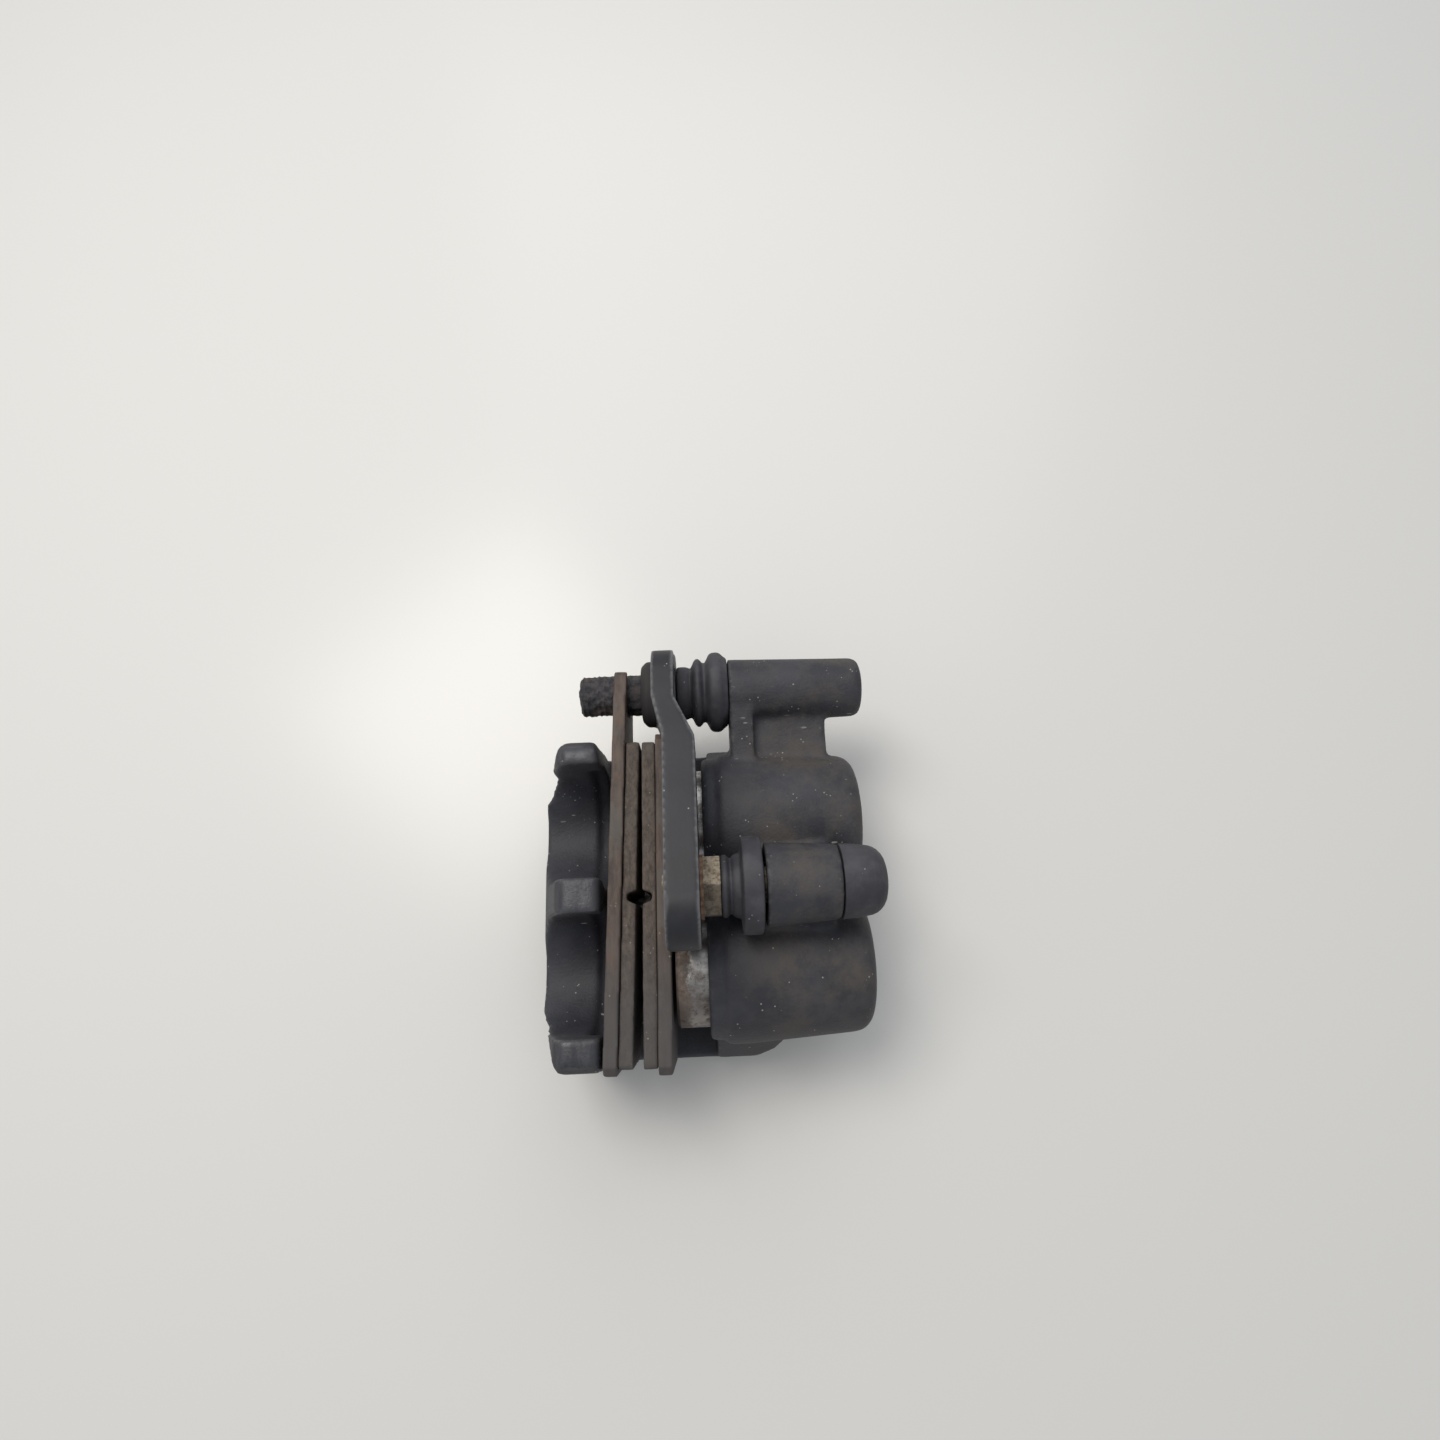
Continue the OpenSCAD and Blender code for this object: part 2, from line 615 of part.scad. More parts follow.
module bleed_screw() {
    color([0.55, 0.53, 0.5]) translate([bleed_x, half_pitch, 0]) {
        translate([0, 0, bleed_boss_z]) cylinder(h = 7, r = bleed_thread_r);
        translate([0, 0, bleed_boss_z - 3]) cylinder(h = 3, r = 4, $fn = 6);
        translate([0, 0, 2]) cylinder(h = 4, r = 2);
    }
}

module bleed_screw_cap() {
    color([0.08, 0.08, 0.08]) translate([bleed_x, half_pitch, 0]) difference() {
        translate([0, 0, 1]) cylinder(h = 3.9, r = 3.2);
        translate([0, 0, 2]) cylinder(h = 4, r = 2.05);
    }
}

caliper_body();
mounting_bracket();
upper_slide_pin();
lower_slide_pin();
lower_pin_washer();
upper_pin_boot();
lower_pin_boot();
lower_pin_cap();
upper_piston();
lower_piston();
upper_piston_seal();
lower_piston_seal();
upper_dust_seal();
lower_dust_seal();
outer_pad_plate();
outer_pad_lining();
inner_pad_plate();
inner_pad_lining();
pad_pin();
pad_pin_plug();
pad_spring();
bleed_screw();
bleed_screw_cap();
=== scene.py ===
import json
import math
import bpy
from mathutils import Matrix, Vector

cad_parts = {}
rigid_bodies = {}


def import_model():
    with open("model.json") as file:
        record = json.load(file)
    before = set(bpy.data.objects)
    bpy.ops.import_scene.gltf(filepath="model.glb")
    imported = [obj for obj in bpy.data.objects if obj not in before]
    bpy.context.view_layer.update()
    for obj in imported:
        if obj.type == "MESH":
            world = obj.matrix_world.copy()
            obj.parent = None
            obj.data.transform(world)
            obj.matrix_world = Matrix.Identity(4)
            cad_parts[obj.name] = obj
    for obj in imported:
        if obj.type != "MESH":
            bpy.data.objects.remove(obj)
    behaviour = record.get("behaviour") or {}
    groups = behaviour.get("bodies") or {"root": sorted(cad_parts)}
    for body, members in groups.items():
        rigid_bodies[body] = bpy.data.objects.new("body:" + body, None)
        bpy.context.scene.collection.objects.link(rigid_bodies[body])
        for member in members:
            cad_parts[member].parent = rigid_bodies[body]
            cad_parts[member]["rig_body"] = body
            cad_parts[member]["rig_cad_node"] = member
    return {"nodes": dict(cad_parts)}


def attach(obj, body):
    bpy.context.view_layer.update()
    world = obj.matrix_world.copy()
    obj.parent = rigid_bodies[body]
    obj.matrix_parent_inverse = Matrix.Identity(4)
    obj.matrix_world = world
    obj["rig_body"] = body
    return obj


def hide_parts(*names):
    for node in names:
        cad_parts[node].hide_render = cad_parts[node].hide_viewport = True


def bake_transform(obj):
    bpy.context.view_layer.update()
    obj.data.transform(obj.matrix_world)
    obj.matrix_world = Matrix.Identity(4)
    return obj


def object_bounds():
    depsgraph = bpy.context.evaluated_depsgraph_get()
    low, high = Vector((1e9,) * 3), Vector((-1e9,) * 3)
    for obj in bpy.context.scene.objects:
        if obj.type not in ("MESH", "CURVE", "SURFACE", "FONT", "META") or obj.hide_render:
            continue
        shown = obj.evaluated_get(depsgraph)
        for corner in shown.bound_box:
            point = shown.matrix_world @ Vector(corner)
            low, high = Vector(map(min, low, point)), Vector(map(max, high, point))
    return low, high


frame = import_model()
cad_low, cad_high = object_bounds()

scene = bpy.context.scene
nodes = frame["nodes"]

# ---- Camera ----
# Looks down into the open side from 26 cm above the table, leaning a little towards the
# lower cylinder, through a wide lens.
bpy.ops.object.camera_add(location=(-0.0031, -0.0150, 0.2600))
camera = bpy.context.object
camera.name = "camera"
right = Vector((0.999, -0.0438, 0.0119)).normalized()
back = Vector((-0.0235, -0.2752, 0.9611)).normalized()
up = back.cross(right).normalized()
turn = Matrix((up.cross(back), up, back)).transposed().to_4x4()
camera.matrix_world = Matrix.Translation(camera.location) @ turn
camera.data.sensor_width = 36
camera.data.lens = 20.04
camera.data.clip_start = 0.005
scene.camera = camera

# ---- Table and light ----
# A plain pale table top just under the bridge. A small soft window light stands to the upper
# left, a broad ceiling light beyond the upper end, and the room adds an even light all round.
scene.view_settings.view_transform = "Standard"
table_gap = 0.0002
bpy.ops.mesh.primitive_plane_add(size=3, location=(0, 0, cad_low.z - table_gap))
table = bpy.context.object
table.name = "table_top"
table_finish = bpy.data.materials.new("table_finish")
table_finish.use_nodes = True
table_shader = table_finish.node_tree.nodes["Principled BSDF"]
table_shader.inputs["Base Color"].default_value = (0.675, 0.670, 0.655, 1)
table_shader.inputs["Roughness"].default_value = 0.26
table_shader.inputs["Specular IOR Level"].default_value = 0.35
table.data.materials.append(table_finish)

scene.world = bpy.data.worlds.new("room")
scene.world.use_nodes = True
room = scene.world.node_tree.nodes["Background"]
room.inputs["Color"].default_value = (0.95, 0.97, 1.0, 1)
room.inputs["Strength"].default_value = 0.50
lit_spot = Vector((0, 0, 0.03))
for name, place, size, power, colour in (
        ("window", (-0.25, 0.28, 0.74), 0.36, 3.7, (1.0, 0.955, 0.88)),
        ("ceiling", (0.12, 0.80, 0.85), 0.9, 2.9, (0.97, 0.99, 1.0))):
    bpy.ops.object.light_add(type="AREA", location=place)
    lamp = bpy.context.object
    lamp.name = name
    lamp.data.shape, lamp.data.size = "SQUARE", size
    lamp.data.energy, lamp.data.color = power, colour
    lamp.rotation_euler = (lit_spot - Vector(place)).to_track_quat("-Z", "Y").to_euler()

# ---- Caliper body ----
# One aluminium sand casting holds both cylinders, the bridge, the claw and the pin bosses.
# Its edges are soft from the mould, and its dark paint is matt, dusty and worn through at
# the claw tips, with brown road dirt baked on to the cylinders.


class Wire:
    """A socket of a material's nodes, with the arithmetic that masks are written in."""

    def __init__(self, tree, socket=None):
        self.tree, self.socket = tree, socket

    def node(self, kind, settings=None, sockets=None, out=0):
        made = self.tree.nodes.new(kind)
        for key, value in (settings or {}).items():
            setattr(made, key, value)
        for key, value in (sockets or {}).items():
            if isinstance(value, Wire):
                self.tree.links.new(value.socket, made.inputs[key])
            else:
                made.inputs[key].default_value = value
        return Wire(self.tree, made.outputs[out])

    def math(self, operation, first, second):
        return self.node("ShaderNodeMath", {"operation": operation}, {0: first, 1: second})

    def __add__(self, other): return self.math("ADD", self, other)
    def __radd__(self, other): return self.math("ADD", other, self)
    def __sub__(self, other): return self.math("SUBTRACT", self, other)
    def __rsub__(self, other): return self.math("SUBTRACT", other, self)
    def __mul__(self, other): return self.math("MULTIPLY", self, other)
    def __rmul__(self, other): return self.math("MULTIPLY", other, self)


def finish_named(name):
    """A new material, its shader, and a wire that adds nodes to it."""
    made = bpy.data.materials.new(name)
    made.use_nodes = True
    return made, made.node_tree.nodes["Principled BSDF"], Wire(made.node_tree)


def places(wire, stretch=(1, 1, 1)):
    """Object coordinates. Under 1, an axis is drawn out, so that the pattern streaks along it."""
    spot = wire.node("ShaderNodeTexCoord", out="Object")
    return wire.node("ShaderNodeMapping", {}, {"Vector": spot, "Scale": stretch})


def axis(wire, at, name):
    """How far a place lies along X, Y or Z, in metres."""
    return wire.node("ShaderNodeSeparateXYZ", {}, {"Vector": at}, out=name)


def noise(wire, at, scale, detail=4.0, rough=0.55):
    """Soft random patches, from 0 to 1, about one metre over scale across."""
    return wire.node("ShaderNodeTexNoise", {}, {"Vector": at, "Scale": scale, "Detail": detail,
                                                "Roughness": rough})


def ramp(wire, value, low, high):
    """0 below low and 1 above high, with a soft turn between them."""
    return wire.node("ShaderNodeMapRange", {"interpolation_type": "SMOOTHSTEP"},
                     {"Value": value, "From Min": low, "From Max": high})


def blend_colours(wire, mask, first, second):
    """The first colour where the mask is 0, and the second where it is 1."""
    return wire.node("ShaderNodeMix", {"data_type": "RGBA"}, {0: mask, 6: first, 7: second}, out=2)


def specks(wire, at, scale, size):
    """Small scattered grains, each with its own chance of being there."""
    cell = wire.node("ShaderNodeTexVoronoi", {}, {"Vector": at, "Scale": scale})
    chance = noise(wire, at, scale * 0.31, detail=2.0)
    return (1 - ramp(wire, cell, size * 0.6, size)) * ramp(wire, chance, 0.58, 0.66)


def bump(wire, height, strength, distance):
    return wire.node("ShaderNodeBump", {}, {"Height": height, "Strength": strength,
                                            "Distance": distance})


def connect(wire, shader, **ends):
    """Each end goes to the shader's socket of that name, as a link or as a plain value."""
    for name, value in ends.items():
        socket = shader.inputs[name.replace("_", " ")]
        if isinstance(value, Wire):
            wire.tree.links.new(value.socket, socket)
        else:
            socket.default_value = value


def copy_of(node, name):
    """A merged copy of a carried-over solid, selected and ready to be worked on."""
    bpy.ops.object.select_all(action="DESELECT")
    piece = nodes[node].copy()
    piece.data = nodes[node].data.copy()
    piece.parent = None
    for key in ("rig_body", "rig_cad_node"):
        del piece[key]
    piece.name = piece.data.name = name
    piece.data.materials.clear()
    scene.collection.objects.link(piece)
    piece.select_set(True)
    bpy.context.view_layer.objects.active = piece
    bpy.ops.object.mode_set(mode="EDIT")
    bpy.ops.mesh.select_all(action="SELECT")
    bpy.ops.mesh.remove_doubles(threshold=0.000002)
    bpy.ops.object.mode_set(mode="OBJECT")
    return piece


def soften(piece, voxel, rounds):
    """Turns a sharp solid into one with the round edges of a casting or a forging."""
    remesh = piece.modifiers.new("remesh", "REMESH")
    remesh.mode, remesh.voxel_size = "VOXEL", voxel
    bpy.ops.object.modifier_apply(modifier=remesh.name)
    smooth = piece.modifiers.new("smooth", "SMOOTH")
    smooth.factor, smooth.iterations = 0.5, rounds
    bpy.ops.object.modifier_apply(modifier=smooth.name)
    bpy.ops.object.shade_smooth()


def stand_in(piece, node, body, finish):
    piece.data.materials.append(finish)
    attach(piece, body)
    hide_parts(node)


paint_dark, paint_light = (0.0275, 0.0285, 0.036, 1), (0.043, 0.044, 0.0545, 1)
road_dirt, worn_and_highlit_edge = (0.086, 0.075, 0.066, 1), (0.16, 0.16, 0.165, 1)
scuffed_paint, pale_grain = (0.098, 0.100, 0.110, 1), (0.27, 0.265, 0.25, 1)
cast_finish, shader, wire = finish_named("cast_paint")
at = places(wire)
along, height = axis(wire, at, "X"), axis(wire, at, "Z")
grain = noise(wire, at, 1400, detail=3)
blotch = noise(wire, at, 95, detail=5, rough=0.6)
on_cylinders = ramp(wire, along, -0.002, 0.018)
dirt = ramp(wire, noise(wire, at, 62, detail=8, rough=0.72), 0.38, 0.64) * on_cylinders
edge = wire.node("ShaderNodeNewGeometry", out="Pointiness")
ragged = (noise(wire, at, 260, detail=6, rough=0.7) - 0.5) * 0.09
edge_wear_and_highlight = ramp(wire, edge + ragged, 0.525, 0.575)
claw_tips = ramp(wire, height, 0.0470, 0.0494) * (1 - ramp(wire, along, -0.033, -0.029))
rubs = noise(wire, places(wire, (1, 0.3, 1)), 210, detail=6, rough=0.7)
scuffed = claw_tips * ramp(wire, rubs, 0.34, 0.62)
dust = specks(wire, at, 760, size=0.21)
scrape = specks(wire, places(wire, (0.3, 1, 1)), 480, size=0.16)
colour = blend_colours(wire, ramp(wire, blotch, 0.35, 0.7), paint_dark, paint_light)
colour = blend_colours(wire, dirt * 0.7, colour, road_dirt)
colour = blend_colours(wire, edge_wear_and_highlight * 0.55, colour, worn_and_highlit_edge)
colour = blend_colours(wire, scuffed * 0.6, colour, scuffed_paint)
colour = blend_colours(wire, dust + scrape, colour, pale_grain)
relief = grain * 0.6 + blotch * 0.5 + dust * 0.6 + dirt * 0.3
connect(wire, shader, Base_Color=colour, Specular_IOR_Level=0.36,
        Roughness=0.50 + blotch * 0.16 + dirt * 0.14 - edge_wear_and_highlight * 0.14 - scuffed * 0.12,
        Metallic=edge_wear_and_highlight * 0.4 + scuffed * 0.3,
        Normal=bump(wire, relief, strength=0.42, distance=0.0005))
body = copy_of("caliper_body", "cast_caliper_body")
soften(body, voxel=0.00085, rounds=5)
stand_in(body, "caliper_body", "caliper", cast_finish)

# ---- Mounting bracket ----
# A forged steel plate, joggled near its upper end, with two bolt holes and a collar that
# holds the upper pin. Its paint is smoother than the casting's and lighter along the edges,
# partly rubbed bright with wear and partly a painted highlight along the bevels, and its collar is
# crusted with dirt.
paint_dark, paint_light = (0.0190, 0.0196, 0.0240, 1), (0.0290, 0.0294, 0.0355, 1)
worn_and_highlit_edge, collar_dirt = (0.17, 0.172, 0.18, 1), (0.034, 0.031, 0.032, 1)
pale_grain = (0.3, 0.3, 0.3, 1)
bracket_finish, shader, wire = finish_named("bracket_paint")
at = places(wire)
grain = noise(wire, at, 900, detail=3)
blotch = noise(wire, at, 110, detail=5)
edge = wire.node("ShaderNodeNewGeometry", out="Pointiness")
# Lighter edges: partly real rubbed wear, partly a painted highlight along the bevels.
edge_wear_and_highlight = ramp(wire, edge + (noise(wire, at, 300, detail=5) - 0.5) * 0.025, 0.508, 0.55)
along = axis(wire, at, "X")
crust = 1 - ramp(wire, along + (grain - 0.5) * 0.001, -0.0162, -0.0157)
dust = specks(wire, at, 520, size=0.13)
colour = blend_colours(wire, ramp(wire, blotch, 0.3, 0.75), paint_dark, paint_light)
colour = blend_colours(wire, edge_wear_and_highlight * 0.7, colour, worn_and_highlit_edge)
colour = blend_colours(wire, crust, colour, collar_dirt)
colour = blend_colours(wire, dust, colour, pale_grain)
connect(wire, shader, Base_Color=colour, Specular_IOR_Level=0.28,
        Roughness=0.42 + blotch * 0.14 - edge_wear_and_highlight * 0.1 + crust * 0.25,
        Normal=bump(wire, grain * 0.4 + blotch * 0.4, strength=0.22, distance=0.0003))
bracket = copy_of("mounting_bracket", "forged_bracket")
soften(bracket, voxel=0.0005, rounds=5)
stand_in(bracket, "mounting_bracket", "bracket", bracket_finish)

# ---- Backing plates ----
# Two punched steel plates that carry the linings. The outer one has an ear with an open slot
# on the upper pin. A thin rust has turned both brown, in long streaks that go grey with brake
# dust towards the lower end.
rust_dark, rust_brown = (0.036, 0.025, 0.021, 1), (0.116, 0.083, 0.068, 1)
old_paint, fresh_rust = (0.098, 0.090, 0.082, 1), (0.135, 0.070, 0.045, 1)
brake_dust, pale_pit = (0.060, 0.058, 0.059, 1), (0.24, 0.2, 0.15, 1)
plate_finish, shader, wire = finish_named("rusted_plate")
at = places(wire, (1, 0.22, 1))
streak = noise(wire, at, 420, detail=6, rough=0.65)
patch = noise(wire, places(wire), 85, detail=6, rough=0.65)
pits = specks(wire, places(wire), 700, size=0.2)
orange = ramp(wire, noise(wire, places(wire, (1, 0.5, 1)), 150, detail=6, rough=0.7), 0.54, 0.66)


def lower_end(wire, patch):
    """1 at the pads' lower end and 0 from near their middle up, with a ragged turn between."""
    return 1 - ramp(wire, axis(wire, places(wire), "Y") + (patch - 0.5) * 0.03, -0.034, -0.004)


colour = blend_colours(wire, ramp(wire, streak, 0.3, 0.7), rust_dark, rust_brown)
colour = blend_colours(wire, ramp(wire, patch, 0.48, 0.62) * 0.6, colour, old_paint)
colour = blend_colours(wire, orange * 0.6, colour, fresh_rust)
colour = blend_colours(wire, lower_end(wire, patch) * 0.75, colour, brake_dust)
colour = blend_colours(wire, pits, colour, pale_pit)
connect(wire, shader, Base_Color=colour, Roughness=0.56 + streak * 0.2, Metallic=0.15 * patch,
        Normal=bump(wire, streak * 0.6 + patch * 0.4, strength=0.4, distance=0.0004))
for node, ride in (("outer_pad_plate", "pad_outer"), ("inner_pad_plate", "pad_inner")):
    plate = copy_of(node, node + "_punched")
    soften(plate, voxel=0.00045, rounds=3)
    stand_in(plate, node, ride, plate_finish)

# ---- Linings ----
# Moulded friction blocks with brass and fibre crumbs in a grey-brown binder, worn to a few
# millimetres and crumbled along the edges of the wear groove.
binder_dark, binder_brown = (0.046, 0.036, 0.031, 1), (0.128, 0.101, 0.084, 1)
glazed, brake_dust = (0.115, 0.104, 0.094, 1), (0.072, 0.067, 0.066, 1)
brass_crumb = (0.26, 0.22, 0.16, 1)
lining_finish, shader, wire = finish_named("friction_block")
at = places(wire, (1, 0.5, 1))
crumb = noise(wire, at, 800, detail=6, rough=0.75)
patch = noise(wire, places(wire), 120, detail=5)
fleck = specks(wire, places(wire), 950, size=0.22)
colour = blend_colours(wire, ramp(wire, crumb, 0.3, 0.7), binder_dark, binder_brown)
colour = blend_colours(wire, ramp(wire, patch, 0.5, 0.7) * 0.5, colour, glazed)
colour = blend_colours(wire, lower_end(wire, patch) * 0.75, colour, brake_dust)
colour = blend_colours(wire, fleck, colour, brass_crumb)
connect(wire, shader, Base_Color=colour, Roughness=0.72 + crumb * 0.16,
        Normal=bump(wire, crumb, strength=0.55, distance=0.0005))
chips = bpy.data.textures.new("crumbled", "CLOUDS")
chips.noise_scale = 0.0035
for node, ride in (("outer_pad_lining", "pad_outer"), ("inner_pad_lining", "pad_inner")):
    lining = copy_of(node, node + "_moulded")
    soften(lining, voxel=0.00045, rounds=3)
    chip = lining.modifiers.new("chips", "DISPLACE")
    chip.texture, chip.texture_coords = chips, "LOCAL"
    chip.strength, chip.mid_level = 0.00022, 1.0
    bpy.ops.object.modifier_apply(modifier=chip.name)
    stand_in(lining, node, ride, lining_finish)

# ---- Pistons ----
# Hard-chromed steel cups, ground round. The part that stands out of the cylinder is rusted
# and pitted on the pad side, still bright where the seals have wiped it, and darker towards
# the lower end.


def coat(finish, *names):
    """Gives carried-over solids their finish."""
    for name in names:
        nodes[name].data.materials.clear()
        nodes[name].data.materials.append(finish)


rust_brown, rust_pale = (0.10, 0.055, 0.035, 1), (0.26, 0.21, 0.18, 1)
chrome, brown_film = (0.52, 0.51, 0.50, 1), (0.12, 0.105, 0.095, 1)
lower_end_tone, pit_brown = (0.15, 0.125, 0.110, 1), (0.07, 0.05, 0.04, 1)
piston_finish, shader, wire = finish_named("worn_chrome")
at = places(wire)
along, across = axis(wire, at, "X"), axis(wire, at, "Y")
rust_edge = along + (noise(wire, at, 260, detail=8, rough=0.7) - 0.5) * 0.009
rust = 1 - ramp(wire, rust_edge, -0.0092, -0.0080)
mottle = noise(wire, at, 620, detail=7, rough=0.7)
turning = noise(wire, places(wire, (12, 1, 1)), 300, detail=3)
film = ramp(wire, noise(wire, at, 170, detail=7, rough=0.7), 0.40, 0.62)
spots = ramp(wire, noise(wire, at, 520, detail=5, rough=0.6), 0.56, 0.66)
# Darker towards the lower end.
darkening_to_lower_end = 1 - ramp(wire, across + (mottle - 0.5) * 0.006, -0.0300, -0.0170)
colour = blend_colours(wire, ramp(wire, mottle, 0.35, 0.65), rust_brown, rust_pale)
colour = blend_colours(wire, 1 - rust, colour, chrome)
colour = blend_colours(wire, film * 0.8, colour, brown_film)
colour = blend_colours(wire, darkening_to_lower_end * 0.75, colour, lower_end_tone)
colour = blend_colours(wire, spots * 0.6, colour, pit_brown)
connect(wire, shader, Base_Color=colour, Metallic=1 - rust * 0.7 - spots * 0.2,
        Roughness=0.26 + rust * 0.38 + spots * 0.2 + film * 0.2 + turning * 0.12,
        Normal=bump(wire, mottle * rust + turning * 0.12, strength=0.4, distance=0.0005))
coat(piston_finish, "upper_piston", "lower_piston")

# ---- Upper slide pin ----
# A thick turned steel pin whose front end guides the outer pad. Its end is threaded and
# crusted with black rust, and its thin tail runs greased inside the caliper's boss.
rust_black, rust_grey = (0.021, 0.020, 0.026, 1), (0.084, 0.079, 0.083, 1)
rust_brown = (0.11, 0.075, 0.055, 1)
pin_finish, shader, wire = finish_named("crusted_pin")
at = places(wire)
crust = noise(wire, at, 480, detail=8, rough=0.75)
patch = noise(wire, at, 150, detail=5)
colour = blend_colours(wire, ramp(wire, crust, 0.35, 0.68), rust_black, rust_grey)
colour = blend_colours(wire, ramp(wire, patch, 0.55, 0.7) * 0.5, colour, rust_brown)
connect(wire, shader, Base_Color=colour, Roughness=0.55 + crust * 0.25, Metallic=0.25,
        Normal=bump(wire, crust, strength=0.85, distance=0.0009))
upper_pin = copy_of("upper_slide_pin", "crusted_upper_pin")
soften(upper_pin, voxel=0.00042, rounds=3)
crusted_from_x = -0.0180
front = upper_pin.vertex_groups.new(name="front")
front.add([v.index for v in upper_pin.data.vertices if v.co.x < crusted_from_x], 1.0, "REPLACE")
flakes = bpy.data.textures.new("rust_flakes", "CLOUDS")
flakes.noise_scale, flakes.noise_depth = 0.0022, 4
crusting = upper_pin.modifiers.new("crusting", "DISPLACE")
crusting.texture, crusting.texture_coords, crusting.vertex_group = flakes, "LOCAL", front.name
crusting.strength, crusting.mid_level = 0.0011, 1.0
bpy.ops.object.modifier_apply(modifier=crusting.name)
stand_in(upper_pin, "upper_slide_pin", "bracket", pin_finish)

# ---- Lower slide pin ----
# A zinc-plated steel pin with a hexagon that clamps it to the bracket. The plating has gone
# dull yellow and is blistered with pale corrosion. The half of the hexagon that faces the
# lower end is darkened with painted shade, for the facets that get less light.
dull_yellow, pale_blister = (0.13, 0.095, 0.060, 1), (0.40, 0.34, 0.26, 1)
bare_rust, shade_on_lower_facets = (0.07, 0.045, 0.03, 1), (0.075, 0.062, 0.050, 1)
zinc_finish, shader, wire = finish_named("blistered_zinc")
at = places(wire)
blister = noise(wire, at, 540, detail=8, rough=0.7)
patch = noise(wire, at, 230, detail=5)
across = axis(wire, at, "Y")
# Painted shade: darkens the half of the hexagon that faces the lower end.
painted_shade_lower_half = 1 - ramp(wire, across + (blister - 0.5) * 0.0012, -0.0006, 0.0004)
colour = blend_colours(wire, ramp(wire, blister, 0.38, 0.62), dull_yellow, pale_blister)
colour = blend_colours(wire, ramp(wire, patch, 0.56, 0.66) * 0.7, colour, bare_rust)
colour = blend_colours(wire, painted_shade_lower_half * 0.6, colour, shade_on_lower_facets)
connect(wire, shader, Base_Color=colour, Metallic=0.35, Roughness=0.45 + blister * 0.3,
        Normal=bump(wire, blister, strength=0.6, distance=0.0005))
coat(zinc_finish, "lower_slide_pin")

# ---- Washer under the hexagon ----
# A plain thin steel washer pressed between hexagon and bracket. It has lost its plating and
# shows as a rusty line.
rust_brown, rust_orange = (0.13, 0.062, 0.036, 1), (0.27, 0.17, 0.11, 1)
washer_finish, shader, wire = finish_named("rusted_washer")
at = places(wire)
flake = noise(wire, at, 700, detail=6, rough=0.7)
colour = blend_colours(wire, ramp(wire, flake, 0.35, 0.65), rust_brown, rust_orange)
connect(wire, shader, Base_Color=colour, Roughness=0.6 + flake * 0.2,
        Normal=bump(wire, flake, strength=0.5, distance=0.0003))
coat(washer_finish, "lower_pin_washer")

# ---- Rubber boots and cap ----
# Moulded rubber bellows seal both pins between bracket and caliper. A
# blind rubber cap shuts the lower boss. All of it is matt black and bloomed with dust.
rubber_black, rubber_bloom = (0.029, 0.029, 0.037, 1), (0.056, 0.055, 0.065, 1)
pale_grain = (0.22, 0.21, 0.2, 1)
rubber_finish, shader, wire = finish_named("dusty_rubber")
at = places(wire)
bloom = noise(wire, at, 160, detail=6, rough=0.6)
fine = noise(wire, at, 1100, detail=4)
dust = specks(wire, at, 560, size=0.15)
colour = blend_colours(wire, ramp(wire, bloom, 0.35, 0.7), rubber_black, rubber_bloom)
colour = blend_colours(wire, dust, colour, pale_grain)
connect(wire, shader, Base_Color=colour, Roughness=0.58 + bloom * 0.2,
        Normal=bump(wire, bloom * 0.6 + fine * 0.3, strength=0.35, distance=0.0004))
mm = 0.001


def bellows(name, at_y, at_z, rings):
    """A closed rubber sleeve, drawn out along X from one ring to the next.

    Each ring is its place along X and its radius, in millimetres."""
    bpy.ops.object.select_all(action="DESELECT")
    x, r = rings[0]
    bpy.ops.mesh.primitive_circle_add(vertices=72, radius=r * mm, fill_type="NOTHING",
                                      location=(x * mm, at_y, at_z),
                                      rotation=(0, math.pi / 2, 0))
    piece = bpy.context.object
    piece.name = piece.data.name = name
    bpy.ops.object.mode_set(mode="EDIT")
    bpy.ops.mesh.select_all(action="SELECT")
    for next_x, next_r in rings[1:]:
        bpy.ops.mesh.extrude_edges_move(
            TRANSFORM_OT_translate={"value": ((next_x - x) * mm, 0, 0)})
        bpy.ops.transform.resize(value=(1, next_r / r, next_r / r),
                                 center_override=(next_x * mm, at_y, at_z))
        x, r = next_x, next_r
    bpy.ops.mesh.select_all(action="DESELECT")
    bpy.ops.mesh.select_non_manifold()
    bpy.ops.mesh.bridge_edge_loops()
    bpy.ops.mesh.select_all(action="SELECT")
    bpy.ops.mesh.normals_make_consistent(inside=False)
    bpy.ops.object.mode_set(mode="OBJECT")
    bpy.ops.object.transform_apply(location=True, rotation=True, scale=True)
    rounder = piece.modifiers.new("round", "SUBSURF")
    rounder.levels = rounder.render_levels = 2
    bpy.ops.object.modifier_apply(modifier=rounder.name)
    bpy.ops.object.shade_smooth()
    piece.data.materials.append(rubber_finish)
    return piece


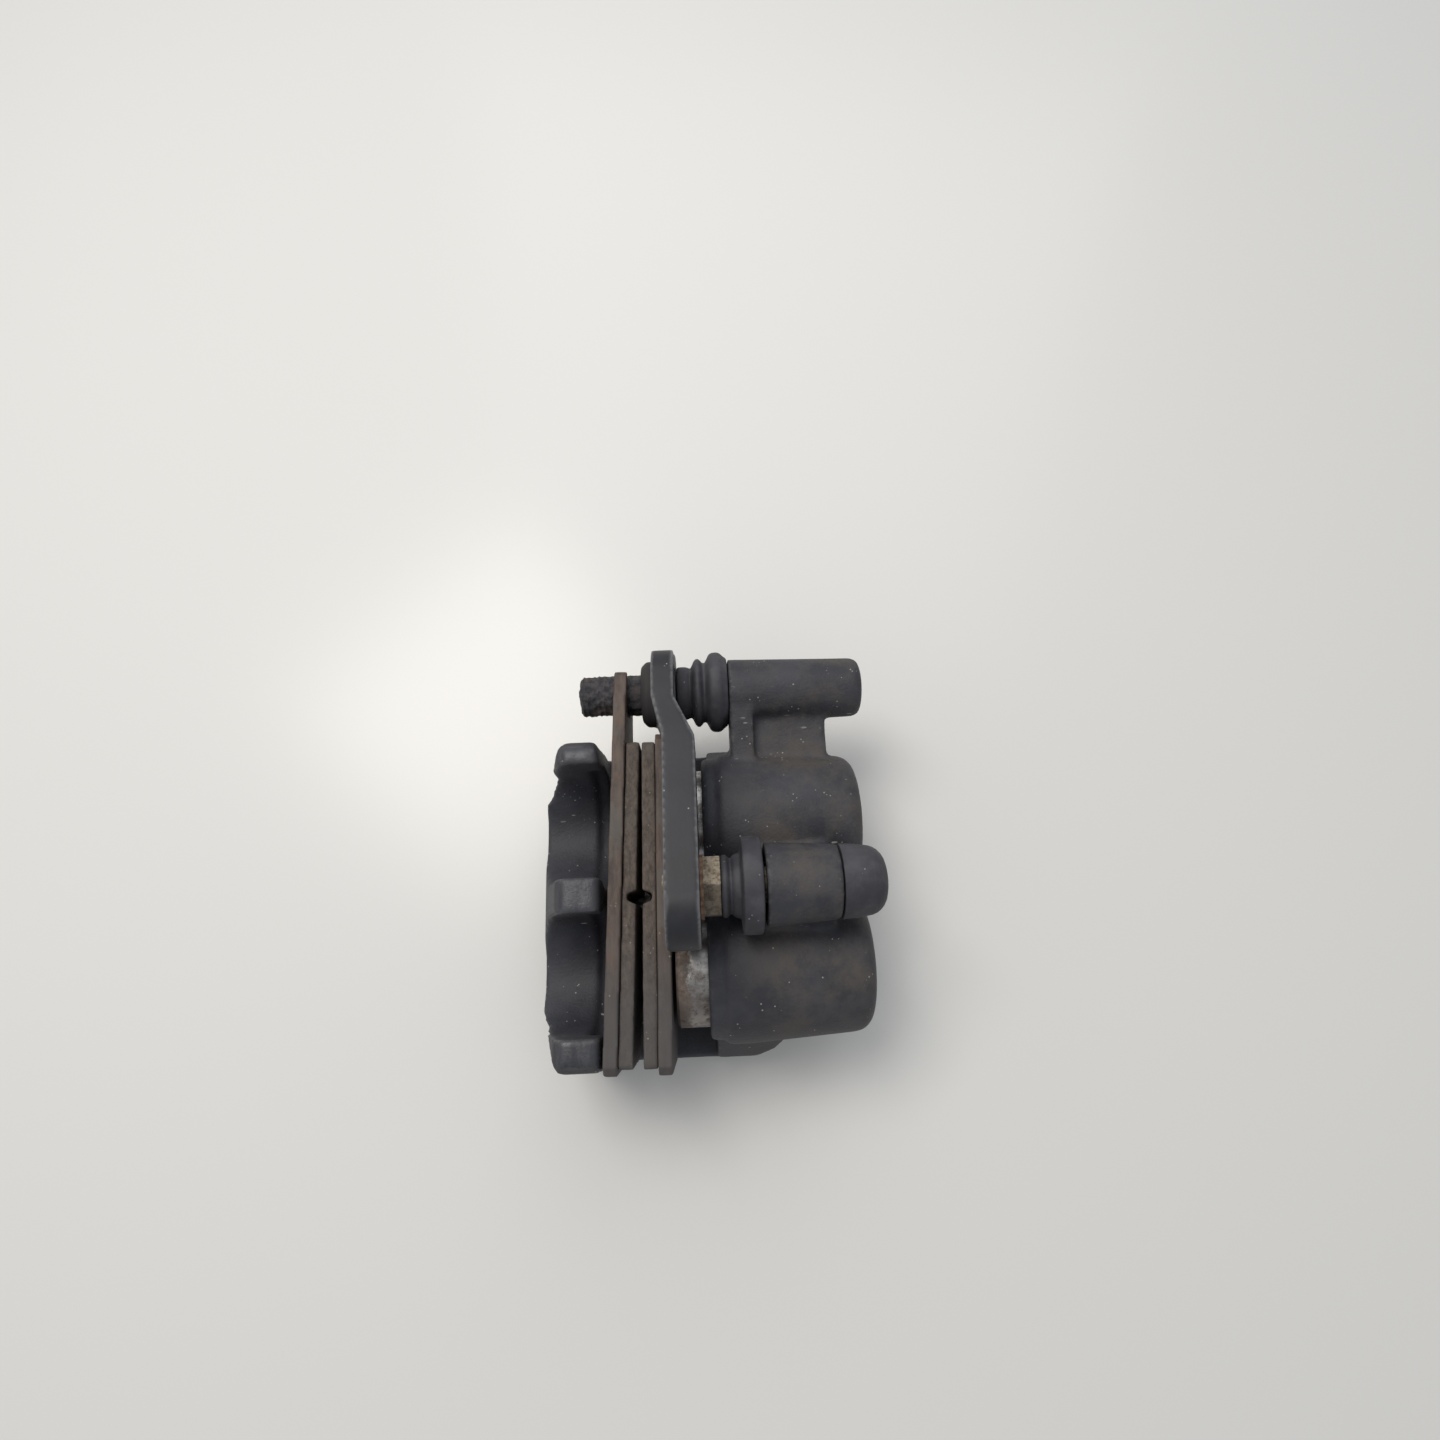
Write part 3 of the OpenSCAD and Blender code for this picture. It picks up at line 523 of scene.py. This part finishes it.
upper_pin_y, upper_pin_z = 0.056, 0.041
upper = bellows("upper_bellows", upper_pin_y, upper_pin_z, [
    (-9.7, 5.0), (-9.7, 7.2), (-9.3, 7.6), (-6.6, 7.6), (-6.0, 7.0), (-5.4, 7.3), (-4.8, 9.0),
    (-4.1, 9.8), (-3.2, 9.8), (-2.5, 8.8), (-1.9, 8.4), (-1.3, 8.8), (-0.6, 10.6), (0.2, 11.4),
    (2.2, 11.5), (3.0, 11.0), (3.7, 10.2), (4.6, 9.7), (4.7, 9.0), (4.7, 5.0)])
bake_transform(upper)
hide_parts("upper_pin_boot")
lower_pin_y, lower_pin_z = 0, 0.059
lower = bellows("lower_bellows", lower_pin_y, lower_pin_z, [
    (0.1, 5.0), (0.1, 7.0), (0.5, 7.6), (1.5, 7.8), (2.2, 6.8), (2.7, 6.7), (3.3, 7.7),
    (4.6, 7.9), (5.0, 8.2), (5.15, 11.2), (5.35, 11.8), (5.9, 12.0), (9.4, 12.0), (9.95, 11.8),
    (10.2, 11.2), (10.4, 8.0), (10.5, 7.6), (10.9, 5.0)])
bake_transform(lower)
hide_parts("lower_pin_boot")
coat(rubber_finish, "lower_pin_cap")

# ---- Seals ----
# Square-cut fluid seals and thin dust seals sit in grooves in the bores, where little more
# than their edges can be seen.
seal_black, seal_grey = (0.012, 0.010, 0.010, 1), (0.034, 0.030, 0.030, 1)
seal_finish, shader, wire = finish_named("seal_rubber")
fine = noise(wire, places(wire), 1300, detail=4)
colour = blend_colours(wire, fine, seal_black, seal_grey)
connect(wire, shader, Base_Color=colour, Roughness=0.42 + fine * 0.2,
        Normal=bump(wire, fine, strength=0.3, distance=0.0002))
coat(seal_finish, "upper_piston_seal", "lower_piston_seal", "upper_dust_seal", "lower_dust_seal")

# ---- Pad pin, plug and bleed screw ----
# Small bright steel parts: the pin that hangs the pads, the slotted plug that covers its
# head, and the bleed screw. They are dulled by brake dust.
bright_steel, dulled_steel = (0.36, 0.35, 0.33, 1), (0.13, 0.11, 0.095, 1)
bright_finish, shader, wire = finish_named("dulled_steel")
at = places(wire)
dull = noise(wire, at, 380, detail=6, rough=0.65)
colour = blend_colours(wire, ramp(wire, dull, 0.4, 0.66), bright_steel, dulled_steel)
connect(wire, shader, Base_Color=colour, Metallic=0.9 - dull * 0.3, Roughness=0.28 + dull * 0.3,
        Normal=bump(wire, dull, strength=0.25, distance=0.0003))
coat(bright_finish, "pad_pin", "pad_pin_plug", "bleed_screw")

# ---- Pad spring ----
# A bent strip of thin stainless spring sheet under the window, which keeps the pads from
# rattling. Rolling marks run along it.
stainless, brown_stain = (0.30, 0.30, 0.29, 1), (0.11, 0.085, 0.065, 1)
spring_finish, shader, wire = finish_named("spring_sheet")
rolled = noise(wire, places(wire, (14, 1, 1)), 160, detail=4)
stain = noise(wire, places(wire), 140, detail=6)
colour = blend_colours(wire, ramp(wire, stain, 0.48, 0.7), stainless, brown_stain)
connect(wire, shader, Base_Color=colour, Metallic=0.85,
        Roughness=0.30 + rolled * 0.16 + stain * 0.12,
        Normal=bump(wire, rolled, strength=0.2, distance=0.0002))
coat(spring_finish, "pad_spring")

# ---- Bleed screw cap ----
# A small moulded cap of the same black rubber as the boots, pushed over the bleed screw's
# nipple to keep water and dirt out of it.
coat(rubber_finish, "bleed_screw_cap")
